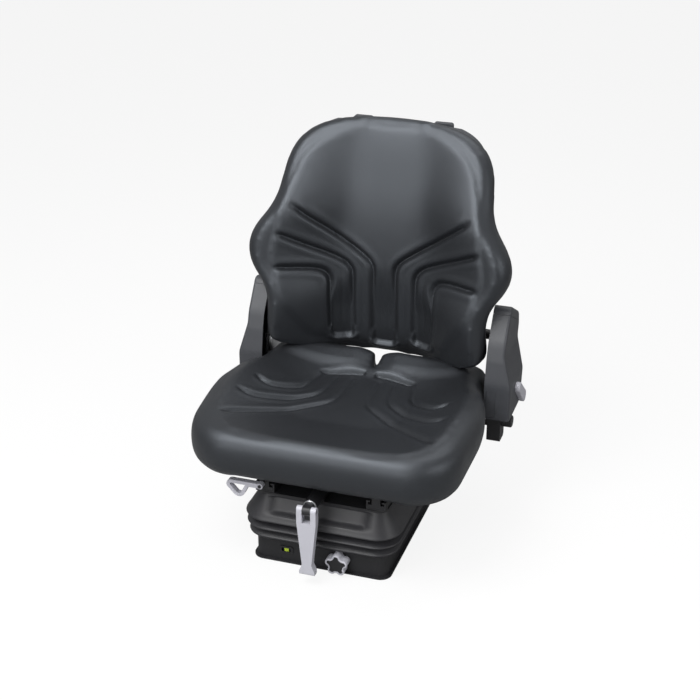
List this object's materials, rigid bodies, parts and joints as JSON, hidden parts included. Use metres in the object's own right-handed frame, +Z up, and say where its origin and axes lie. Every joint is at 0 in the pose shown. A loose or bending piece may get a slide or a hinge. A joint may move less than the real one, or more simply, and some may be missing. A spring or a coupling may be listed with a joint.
{
  "type": "operator seat",
  "caption": "Sprung operator seat with grooved cushions, a reclining backrest on side arms, slide rails and a bellows over a scissor suspension on a bolted base.",
  "frame": {"origin": "centre of the base's bolt pattern, on the floor plane", "axes": "+Z up, the seat faces -Y, +X is the occupant's left"},
  "size_m": [0.5603, 0.566, 0.719],
  "materials": {
    "vinyl": "soft sheen",
    "grey_plastic": "grained",
    "light_plastic": "satin",
    "black_plastic": "matte",
    "marker_plastic": "gloss",
    "rubber": "satin",
    "black_steel": "satin black",
    "bright_steel": "zinc plated"
  },
  "bodies": {
    "base": {"base_tray": "black_steel", "lower_roller_channel_left": "black_steel", "lower_roller_channel_right": "black_steel", "lower_pivot_shaft": "bright_steel", "bump_stops": "rubber", "damper_barrel": "black_steel", "springs": "bright_steel", "bellows": "rubber", "knob_bush": "black_plastic", "indicator_bezel": "black_plastic"},
    "upper_frame": {"top_frame": "black_steel", "upper_roller_channel_left": "black_steel", "upper_roller_channel_right": "black_steel", "upper_pivot_shaft": "bright_steel", "damper_rod": "bright_steel", "crank_housing": "black_steel", "lower_rail_left": "black_steel", "lower_rail_right": "black_steel"},
    "outer_scissor": {"outer_scissor_arms": "black_steel", "scissor_cross_pins": "bright_steel", "upper_rollers": "black_plastic"},
    "inner_scissor": {"inner_scissor_arms": "black_steel", "lower_rollers": "black_plastic"},
    "crank": {"crank_shaft": "black_steel", "crank_ring": "bright_steel"},
    "lever": {"weight_lever": "light_plastic", "lever_pin": "bright_steel"},
    "star_knob": {"height_knob": "light_plastic", "knob_insert": "black_plastic", "knob_spindle": "bright_steel"},
    "marker": {"weight_marker": "marker_plastic"},
    "seat": {"upper_rail_left": "black_steel", "upper_rail_right": "black_steel", "seat_pan": "black_steel", "seat_cushion": "vinyl", "side_bracket_left": "black_steel", "side_bracket_right": "black_steel", "side_cover_left": "grey_plastic", "side_cover_right": "grey_plastic", "arm_cap_left": "grey_plastic", "arm_cap_right": "grey_plastic", "cover_insert_left": "grey_plastic", "cover_insert_right": "grey_plastic", "side_block_left": "black_plastic", "side_block_right": "black_plastic", "side_knob_left": "black_plastic", "side_knob_right": "black_plastic", "pivot_bolt_left": "bright_steel", "pivot_bolt_right": "bright_steel"},
    "slide_handle": {"slide_lever": "light_plastic"},
    "recline_handle": {"recline_lever": "light_plastic"},
    "backrest": {"recliner_plate_left": "bright_steel", "recliner_plate_right": "bright_steel", "backrest_frame": "black_steel", "backrest_shell": "grey_plastic", "backrest_cushion": "vinyl", "top_lugs": "grey_plastic"}
  },
  "joints": [
    {"name": "suspension_stroke", "type": "slide", "parent": "base", "child": "upper_frame", "axis": [0, 0, 1], "range_m": [-0.06, 0], "stiffness_N_per_m": 6000, "springref_m": 0.08, "deforming": ["bellows", "springs"]},
    {"name": "outer_scissor_fold", "type": "hinge", "parent": "base", "child": "outer_scissor", "pos_m": [0, 0.112, 0.0163], "axis": [1, 0, 0], "range_deg": [0, 15.21]},
    {"name": "inner_scissor_fold", "type": "hinge", "parent": "upper_frame", "child": "inner_scissor", "pos_m": [0, 0.112, 0.1223], "axis": [-1, 0, 0], "range_deg": [0, 15.21]},
    {"name": "fore_aft_slide", "type": "slide", "parent": "upper_frame", "child": "seat", "axis": [0, -1, 0], "range_m": [-0.075, 0.075]},
    {"name": "backrest_recline", "type": "hinge", "parent": "seat", "child": "backrest", "pos_m": [0, 0.215, 0.272], "axis": [-1, 0, 0], "range_deg": [-10, 20]},
    {"name": "slide_lever_lift", "type": "hinge", "parent": "seat", "child": "slide_handle", "pos_m": [-0.105, -0.165, 0.1636], "axis": [0, 1, 0], "range_deg": [0, 10], "stiffness_Nm_per_rad": 0.8, "springref_deg": -17.19},
    {"name": "recline_lever_lift", "type": "hinge", "parent": "seat", "child": "recline_handle", "pos_m": [0.275, 0.205, 0.245], "axis": [1, 0, 0], "range_deg": [0, 18], "stiffness_Nm_per_rad": 0.8, "springref_deg": -17.19},
    {"name": "weight_crank_turn", "type": "hinge", "parent": "upper_frame", "child": "crank", "pos_m": [-0.003, -0.186, 0.1521], "axis": [0, -1, 0], "range_deg": [-60, 60]},
    {"name": "weight_lever_fold", "type": "hinge", "parent": "crank", "child": "lever", "pos_m": [-0.003, -0.203, 0.1521], "axis": [-1, 0, 0], "range_deg": [0, 80]},
    {"name": "height_knob_turn", "type": "hinge", "parent": "base", "child": "star_knob", "pos_m": [0.038, -0.15, 0.025], "axis": [0, -1, 0], "continuous": true},
    {"name": "weight_marker_travel", "type": "slide", "parent": "base", "child": "marker", "axis": [1, 0, 0], "range_m": [-0.004, 0.004]}
  ],
  "couplings": [
    {"joint": "outer_scissor_fold", "follows": "suspension_stroke", "rad_per_m": -4.4099},
    {"joint": "inner_scissor_fold", "follows": "suspension_stroke", "rad_per_m": -4.4099},
    {"joint": "weight_marker_travel", "follows": "weight_crank_turn", "m_per_rad": 0.0038}
  ]
}
